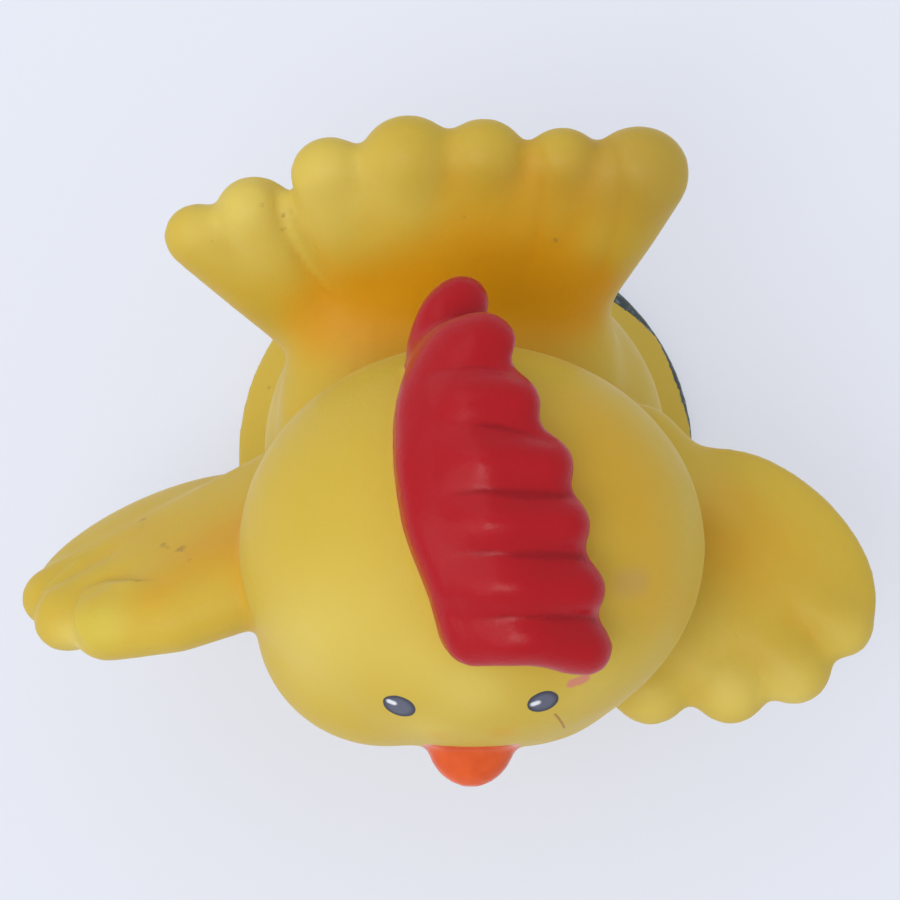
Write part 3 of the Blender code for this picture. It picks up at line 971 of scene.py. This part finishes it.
class Shader:
    """Short names for the steps that build one material's nodes."""

    def __init__(self, name):
        self.material = bpy.data.materials.new(name)
        self.material.use_nodes = True
        self.tree = self.material.node_tree
        self.surface = self.tree.nodes["Principled BSDF"]

    def feed(self, socket, value):
        if isinstance(value, bpy.types.NodeSocket):
            self.tree.links.new(value, socket)
        else:
            socket.default_value = value

    def node(self, kind, **settings):
        item = self.tree.nodes.new(kind)
        for key, value in settings.items():
            setattr(item, key, value)
        return item

    def math(self, operation, *values):
        item = self.node("ShaderNodeMath", operation=operation)
        for number, value in enumerate(values):
            self.feed(item.inputs[number], value)
        return item.outputs[0]

    def vector(self, operation, *values, output="Vector"):
        item = self.node("ShaderNodeVectorMath", operation=operation)
        for number, value in enumerate(values):
            self.feed(item.inputs[number], value)
        return item.outputs[output]

    def step(self, value, start, end, low=0.0, high=1.0):
        """A smooth change from low to high while the value goes from start to end."""
        item = self.node("ShaderNodeMapRange", interpolation_type="SMOOTHSTEP")
        for name, part in zip(("Value", "From Min", "From Max", "To Min", "To Max"),
                              (value, start, end, low, high)):
            self.feed(item.inputs[name], part)
        return item.outputs[0]

    def mix(self, share, first, second):
        item = self.node("ShaderNodeMix", data_type="RGBA")
        self.feed(item.inputs[0], share)
        self.feed(item.inputs[6], first)
        self.feed(item.inputs[7], second)
        return item.outputs[2]

    def attribute(self, name):
        return self.node("ShaderNodeAttribute", attribute_name=name).outputs["Fac"]

    def millimetres(self):
        place = self.node("ShaderNodeTexCoord").outputs["Object"]
        return self.vector("MULTIPLY", place, (MM_PER_METRE,) * 3)

    def noise(self, place, size, detail, roughness, shift):
        """Noise around zero, from about -1 to 1, with features of a size in millimetres."""
        item = self.node("ShaderNodeTexNoise")
        moved = self.vector("ADD", place, (shift,) * 3)
        self.feed(item.inputs["Vector"], moved)
        self.feed(item.inputs["Scale"], 1.0 / size)
        self.feed(item.inputs["Detail"], detail)
        self.feed(item.inputs["Roughness"], roughness)
        centred = self.math("SUBTRACT", item.outputs["Fac"], 0.5)
        return self.math("MULTIPLY", centred, NOISE_GAIN)

    def near_point(self, place, centre, radius, soft, wobble=None):
        gap = self.vector("DISTANCE", place, tuple(centre), output="Value")
        if wobble is not None:
            gap = self.math("ADD", gap, wobble)
        return self.step(gap, radius + soft, radius - soft)

    def near_line(self, place, start, end, width, soft, wobble=None):
        """One within a width of a short straight mark, and zero away from it."""
        middle = (start + end) / 2
        along = end - start
        half = along.length / 2
        offset = self.vector("SUBTRACT", place, tuple(middle))
        reach = self.vector("DOT_PRODUCT", offset, tuple(along.normalized()), output="Value")
        held = self.math("MINIMUM", self.math("MAXIMUM", reach, -half), half)
        spot = self.vector("SCALE", tuple(along.normalized()))
        self.feed(spot.node.inputs["Scale"], held)
        gap = self.vector("DISTANCE", offset, spot, output="Value")
        if wobble is not None:
            gap = self.math("ADD", gap, wobble)
        return self.step(gap, width + soft, width - soft)


def vinyl_colour(shader, place):
    """Yellow vinyl: orange painted shade in its hollows and warm spots, lemon painted light, and darker
    brown painted shade.
    """
    patches = shader.math("MULTIPLY", shader.noise(place, *PATCH_NOISE), PATCH_SHARE)
    mottle = shader.noise(place, *MOTTLE_NOISE)
    # Painted shade: orange in the warm spots and the hollows, with random patches
    warm_shade = shader.math("ADD", shader.attribute("warm_shade"), patches)
    hollow = shader.math("MULTIPLY", shader.attribute("hollow"), HOLLOW_SHADE)
    warm_shade = shader.math("ADD", warm_shade, hollow)
    # Painted light: lemon in the lit spots
    lemon_light = shader.math("SUBTRACT", shader.attribute("lemon_light"), patches)
    colour = shader.mix(shader.step(lemon_light, *LEMON_LIMITS), VINYL, PAINTED_LIGHT_LEMON)
    colour = shader.mix(shader.step(warm_shade, *WARM_LIMITS), colour, ORANGE_SHADE_AND_MOTTLE)
    # Painted shade: darker brown spots
    colour = shader.mix(shader.attribute("dark_shade"), colour, SHADE_BROWN)
    darker = shader.step(mottle, *MOTTLE_LIMITS, 0.0, MOTTLE_SHARE)
    return shader.mix(darker, colour, ORANGE_SHADE_AND_MOTTLE)


def add_marks(shader, place, tree, colour, wobble):
    """The painted highlight on a finger tip, the stain, the pink overspray and the scratch."""
    # Painted highlight on the finger tip
    tip = [on_skin(tree, pixel) for pixel in FINGER_HIGHLIGHT_PIXELS]
    glow = shader.near_line(place, *tip, FINGER_HIGHLIGHT_WIDTH, FINGER_HIGHLIGHT_SOFT)
    colour = shader.mix(shader.math("MULTIPLY", glow, FINGER_HIGHLIGHT_STRENGTH), colour, GREENISH_HIGHLIGHT)
    uneven = shader.math("MULTIPLY", wobble, OVERSPRAY_UNEVEN)
    marks = (
        (STAIN_PIXELS, STAIN_WIDTH, STAIN_SOFT, STAIN_STRENGTH, STAIN_PURPLE, wobble),
        (OVERSPRAY_PIXELS, OVERSPRAY_WIDTH, OVERSPRAY_SOFT, OVERSPRAY_STRENGTH, OVERSPRAY_PINK, uneven),
        (SCRATCH_PIXELS, SCRATCH_WIDTH, SCRATCH_SOFT, SCRATCH_STRENGTH, SCRATCH_BROWN, None),
    )
    for pixels, width, soft, strength, paint, edge in marks:
        ends = [on_skin(tree, pixel) for pixel in pixels]
        amount = 0.0
        for start, end in zip(ends[:-1], ends[1:]):
            piece = shader.near_line(place, start, end, width, soft, edge)
            amount = shader.math("MAXIMUM", amount, piece)
        colour = shader.mix(shader.math("MULTIPLY", amount, strength), colour, paint)
    return colour


def add_dirt(shader, colour, specks):
    uneven = shader.math("MULTIPLY", specks, DIRT_UNEVEN)
    dirt = shader.math("ADD", shader.attribute("dirt"), uneven)
    return shader.mix(shader.step(dirt, *DIRT_LIMITS, 0.0, DIRT_STRENGTH), colour, DIRT_BROWN)


def paint_comb(shader, colour, wobble):
    """Red paint with a pink fringe, darkened by painted shade in its creases. Returns the colour and
    where the paint is.
    """
    gap = shader.math("ADD", shader.attribute("comb"), shader.math("MULTIPLY", wobble, COMB_UNEVEN))
    fringe = shader.step(gap, *COMB_FRINGE)
    comb = shader.step(gap, *COMB_PAINT)
    # Painted shade: the red darkens in the creases
    crease_shade = shader.step(shader.attribute("crease"), *COMB_CREASE_DEPTHS)
    red = shader.mix(crease_shade, COMB_RED, COMB_SHADE_RED)
    colour = shader.mix(shader.math("MULTIPLY", fringe, COMB_FRINGE_SHARE), colour, COMB_EDGE_PINK)
    return shader.mix(comb, colour, red), comb


def paint_beak(shader, place, colour, wobble):
    """Orange paint. Returns the colour and where the paint is."""
    edge = shader.math("ADD", shader.attribute("beak"), wobble)
    beak = shader.step(edge, BEAK_PAINT_SOFT, -BEAK_PAINT_SOFT)
    tone = shader.step(shader.noise(place, *BEAK_NOISE), *BEAK_TONES)
    return shader.mix(beak, colour, shader.mix(tone, BEAK_ORANGE, BEAK_DEEP)), beak


def add_grime(shader, colour, specks):
    uneven = shader.math("MULTIPLY", specks, GRIME_UNEVEN)
    grime = shader.step(shader.math("ADD", shader.attribute("grime"), uneven), *GRIME_LIMITS)
    pale = shader.step(specks, *GRIME_PALE_LIMITS, 0.0, GRIME_PALE_SHARE)
    return shader.mix(grime, colour, shader.mix(pale, GRIME_DARK, GRIME_PALE))


def paint_eyes(shader, place, tree, colour, wobble):
    """Grey discs with a dark rim and a white glint. Returns the colour and where the paint is."""
    eyes = 0.0
    for eye_pixel, radius, glint_pixels in zip(EYE_PIXELS, EYE_RADII, EYE_GLINT_PIXELS):
        centre = on_skin(tree, eye_pixel)
        uneven = shader.math("MULTIPLY", wobble, EYE_UNEVEN)
        eye = shader.near_point(place, centre, radius, EYE_SOFT, uneven)
        pupil = shader.near_point(place, centre, radius - EYE_RIM_WIDTH, EYE_RIM_WIDTH)
        colour = shader.mix(eye, colour, shader.mix(pupil, EYE_RIM, EYE_GREY))
        ends = [on_skin(tree, pixel) for pixel in glint_pixels]
        glint = shader.near_line(place, *ends, EYE_GLINT_WIDTH, EYE_GLINT_SOFT)
        colour = shader.mix(glint, colour, GLINT_WHITE)
        eyes = shader.math("MAXIMUM", eyes, eye)
    return colour, eyes


def set_gloss(shader, place, painted, beak):
    """Satin vinyl with smears, glossier paint and the glossiest beak."""
    smears = shader.noise(place, *SMEAR_NOISE)
    rough = shader.math("ADD", VINYL_ROUGHNESS, shader.math("MULTIPLY", smears, VINYL_SMEARS))
    paint = shader.math("ADD", PAINT_ROUGHNESS, shader.math("MULTIPLY", smears, PAINT_SMEARS))
    gloss = shader.mix(beak, shader.mix(painted, rough, paint), BEAK_ROUGHNESS)
    shader.feed(shader.surface.inputs["Roughness"], gloss)


def set_skin(shader):
    inputs = shader.surface.inputs
    inputs["Subsurface Weight"].default_value = SUBSURFACE_WEIGHT
    inputs["Subsurface Radius"].default_value = SUBSURFACE_RADIUS
    inputs["Subsurface Scale"].default_value = 1.0
    inputs["Specular IOR Level"].default_value = SPECULAR_LEVEL
    inputs["Sheen Weight"].default_value = SHEEN_WEIGHT
    inputs["Sheen Roughness"].default_value = SHEEN_ROUGHNESS
    inputs["Sheen Tint"].default_value = SHEEN_CREAM


def set_grain(shader, place):
    grain = shader.math("MULTIPLY", shader.noise(place, *GRAIN_NOISE), GRAIN_SHARE)
    grain = shader.math("ADD", grain, shader.noise(place, *DIMPLE_NOISE))
    bump = shader.node("ShaderNodeBump")
    bump.inputs["Strength"].default_value = BUMP_STRENGTH
    bump.inputs["Distance"].default_value = BUMP_DISTANCE
    shader.feed(bump.inputs["Height"], grain)
    shader.feed(shader.surface.inputs["Normal"], bump.outputs["Normal"])


def hen_vinyl(tree):
    shader = Shader("yellow_vinyl")
    place = shader.millimetres()
    wobble = shader.math("MULTIPLY", shader.noise(place, *WOBBLE_NOISE), WOBBLE_HEIGHT)
    specks = shader.noise(place, *SPECK_NOISE)
    colour = vinyl_colour(shader, place)
    colour = add_marks(shader, place, tree, colour, wobble)
    colour = add_dirt(shader, colour, specks)
    colour, comb = paint_comb(shader, colour, wobble)
    colour, beak = paint_beak(shader, place, colour, wobble)
    colour = add_grime(shader, colour, specks)
    colour, eyes = paint_eyes(shader, place, tree, colour, wobble)
    shader.feed(shader.surface.inputs["Base Color"], colour)
    painted = shader.math("MAXIMUM", shader.math("MAXIMUM", comb, beak), eyes)
    set_gloss(shader, place, painted, beak)
    set_skin(shader)
    set_grain(shader, place)
    return shader.material


def add_floor():
    bpy.ops.mesh.primitive_plane_add(size=FLOOR_SPAN)
    floor = bpy.context.object
    floor.name = "floor"
    shader = Shader("floor_paper")
    place = shader.millimetres()
    cloud = shader.noise(place, *CLOUD_NOISE)
    cloud = shader.step(cloud, *FLOOR_CLOUD_LIMITS, 0.0, FLOOR_CLOUD_SHARE)
    shader.feed(shader.surface.inputs["Base Color"], shader.mix(cloud, FLOOR_COLOUR, FLOOR_CLOUD))
    shader.surface.inputs["Roughness"].default_value = FLOOR_ROUGHNESS
    light = shader.node("ShaderNodeLightPath")
    seen = shader.math("ADD", light.outputs["Is Camera Ray"], light.outputs["Is Glossy Ray"])
    seen = shader.math("ADD", seen, light.outputs["Is Transmission Ray"])
    glow = shader.node("ShaderNodeEmission")
    glow.inputs["Color"].default_value = BACKGROUND
    blend = shader.node("ShaderNodeMixShader")
    shader.feed(blend.inputs["Fac"], shader.math("MULTIPLY", seen, BACKGROUND_SHARE))
    shader.feed(blend.inputs[1], shader.surface.outputs["BSDF"])
    shader.feed(blend.inputs[2], glow.outputs["Emission"])
    shader.feed(shader.tree.nodes["Material Output"].inputs["Surface"], blend.outputs["Shader"])
    floor.data.materials.append(shader.material)


def add_lamp(name, place, size, power, colour):
    data = bpy.data.lights.new(name, "AREA")
    data.shape = "SQUARE"
    data.size = size
    data.energy = power
    data.color = colour
    lamp = bpy.data.objects.new(name, data)
    lamp.location = place
    lamp.rotation_euler = (-Vector(place)).to_track_quat("-Z", "Y").to_euler()
    bpy.context.scene.collection.objects.link(lamp)


def add_lights():
    for lamp in LAMPS:
        add_lamp(*lamp)
    world = bpy.data.worlds.new("studio")
    world.use_nodes = True
    background = world.node_tree.nodes["Background"]
    background.inputs["Color"].default_value = WORLD_LIGHT
    background.inputs["Strength"].default_value = WORLD_STRENGTH
    bpy.context.scene.world = world


def add_camera():
    data = bpy.data.cameras.new("camera")
    data.sensor_width = SENSOR_WIDTH
    data.lens = FOCAL_PIXELS / IMAGE_SIDE * SENSOR_WIDTH
    data.clip_start = CAMERA_CLIP_START
    camera = bpy.data.objects.new("camera", data)
    camera.location = camera_place() * METRES_PER_MM
    camera.rotation_euler = Euler((math.radians(90.0 - CAMERA_ELEVATION), 0.0, 0.0))
    bpy.context.scene.collection.objects.link(camera)
    bpy.context.scene.camera = camera


def dress_hen():
    hen, tree = make_hen()
    hen.name = "hen_skin"
    hen.data.materials.clear()
    hen.data.materials.append(hen_vinyl(tree))
    for face in hen.data.polygons:
        face.use_smooth = True
    hen.data.transform(Matrix.Scale(METRES_PER_MM, 4))
    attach(hen, "root")
    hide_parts("hen_body")


dress_hen()
add_floor()
add_lights()
add_camera()
bpy.context.scene.view_settings.view_transform = "Standard"
bpy.context.view_layer.update()
